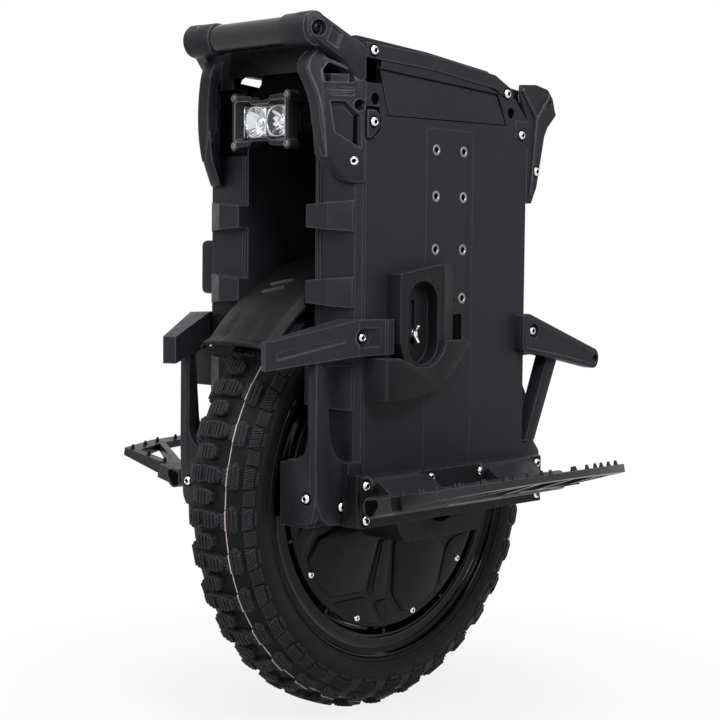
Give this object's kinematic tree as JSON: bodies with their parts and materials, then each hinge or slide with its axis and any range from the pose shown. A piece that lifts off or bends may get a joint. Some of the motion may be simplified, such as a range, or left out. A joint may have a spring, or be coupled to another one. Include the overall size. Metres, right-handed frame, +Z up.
{
  "type": "electric unicycle",
  "caption": "Electric unicycle with a knobby hub-motor wheel between two battery boxes, fold-up spiked pedals, leg pads, corner guards, handle bar and headlight.",
  "frame": {"origin": "on the ground under the axle, midway between the sides", "axes": "+Z up, -Y to the front where the headlight is, +X to the rider's left"},
  "size_m": [0.5354, 0.5002, 0.7557],
  "materials": {
    "tyre_rubber": "matt rubber with moulded tread",
    "rim_black": "gloss black coated aluminium",
    "motor_cover_black": "satin black coated aluminium",
    "bright_screw": "bright zinc plated steel",
    "insert_metal": "plated threaded insert",
    "motor_iron": "laminated iron",
    "steel": "machined steel",
    "hanger_black": "satin black cast aluminium",
    "box_plastic": "fine grained black moulding",
    "panel_black": "satin dark grey sheet",
    "guard_plastic": "grained black moulding",
    "bar_black": "satin black tube",
    "pack_wrap": "shrink wrapped cells",
    "board_green": "circuit board",
    "sink_black": "black anodised heat sink",
    "pedal_black": "satin black cast aluminium",
    "spike_steel": "blackened steel",
    "pad_rubber": "firm moulded leg pad",
    "light_black": "black anodised lamp body",
    "lens_clear": "clear lens",
    "reflector_chrome": "mirror reflector",
    "tail_red": "red lamp lens",
    "button_black": "push button and cap"
  },
  "bodies": {
    "chassis": {"axle": "steel", "axle_nuts": "steel", "battery_box_left": "box_plastic", "battery_box_right": "box_plastic", "battery_packs": "pack_wrap", "body_screws": "bright_screw", "bumper_front_left": "guard_plastic", "bumper_front_right": "guard_plastic", "bumper_rear_left": "guard_plastic", "bumper_rear_right": "guard_plastic", "charge_port": "button_black", "controller_board": "board_green", "front_fender": "box_plastic", "front_guard_left": "guard_plastic", "front_guard_right": "guard_plastic", "grab_rail_left": "guard_plastic", "grab_rail_right": "guard_plastic", "handle_bar": "bar_black", "hanger_left": "hanger_black", "hanger_right": "hanger_black", "headlight_bracket": "sink_black", "heat_sink": "sink_black", "pad_inserts": "insert_metal", "pad_strips": "panel_black", "pedal_bracket_left": "hanger_black", "pedal_bracket_right": "hanger_black", "pedal_pins": "steel", "rear_bar": "bar_black", "rear_fender": "box_plastic", "rear_guard_left": "guard_plastic", "rear_guard_right": "guard_plastic", "recess_panel_left": "panel_black", "recess_panel_right": "panel_black", "side_panel_left": "panel_black", "side_panel_right": "panel_black", "stator": "motor_iron", "tail_light": "tail_red", "top_deck": "guard_plastic"},
    "wheel": {"tyre": "tyre_rubber", "rim": "rim_black", "motor_cover_left": "motor_cover_black", "motor_cover_right": "motor_cover_black", "motor_cover_screws": "bright_screw", "magnet_ring": "motor_iron", "wheel_bearings": "steel"},
    "headlight": {"headlight_housing": "light_black", "headlight_bezel": "light_black", "headlight_lens": "lens_clear", "headlight_reflectors": "reflector_chrome"},
    "power_button": {"power_button": "button_black"},
    "left_pedal": {"pedal_left": "pedal_black", "pedal_spikes_left": "spike_steel"},
    "left_pad": {"upper_pad_left": "pad_rubber", "lower_pad_left": "pad_rubber"},
    "left_wing_screw": {"wing_screw_left": "bright_screw"},
    "right_pedal": {"pedal_right": "pedal_black", "pedal_spikes_right": "spike_steel"},
    "right_pad": {"upper_pad_right": "pad_rubber", "lower_pad_right": "pad_rubber"},
    "right_wing_screw": {"wing_screw_right": "bright_screw"}
  },
  "joints": [
    {"name": "wheel_spin", "type": "hinge", "parent": "chassis", "child": "wheel", "pos_m": [0, 0, 0.25], "axis": [1, 0, 0], "continuous": true},
    {"name": "headlight_tilt", "type": "hinge", "parent": "chassis", "child": "headlight", "pos_m": [0, -0.143, 0.651], "axis": [1, 0, 0], "range_deg": [-15, 15]},
    {"name": "power_button_press", "type": "slide", "parent": "chassis", "child": "power_button", "axis": [0, 0, -1], "range_m": [0, 0.002], "stiffness_N_per_m": 800, "springref_m": -0.0015},
    {"name": "left_pedal_fold", "type": "hinge", "parent": "chassis", "child": "left_pedal", "pos_m": [0.1534, 0, 0.2572], "axis": [0, -1, 0], "range_deg": [0, 68]},
    {"name": "left_pad_slide", "type": "slide", "parent": "chassis", "child": "left_pad", "axis": [0, 0, 1], "range_m": [-0.03, 0.002]},
    {"name": "left_wing_screw_turn", "type": "hinge", "parent": "chassis", "child": "left_wing_screw", "pos_m": [0.118, -0.0625, 0.429], "axis": [1, 0, 0], "continuous": true},
    {"name": "right_pedal_fold", "type": "hinge", "parent": "chassis", "child": "right_pedal", "pos_m": [-0.1534, 0, 0.2572], "axis": [0, 1, 0], "range_deg": [0, 68]},
    {"name": "right_pad_slide", "type": "slide", "parent": "chassis", "child": "right_pad", "axis": [0, 0, 1], "range_m": [-0.03, 0.002]},
    {"name": "right_wing_screw_turn", "type": "hinge", "parent": "chassis", "child": "right_wing_screw", "pos_m": [-0.118, -0.0625, 0.429], "axis": [-1, 0, 0], "continuous": true}
  ]
}
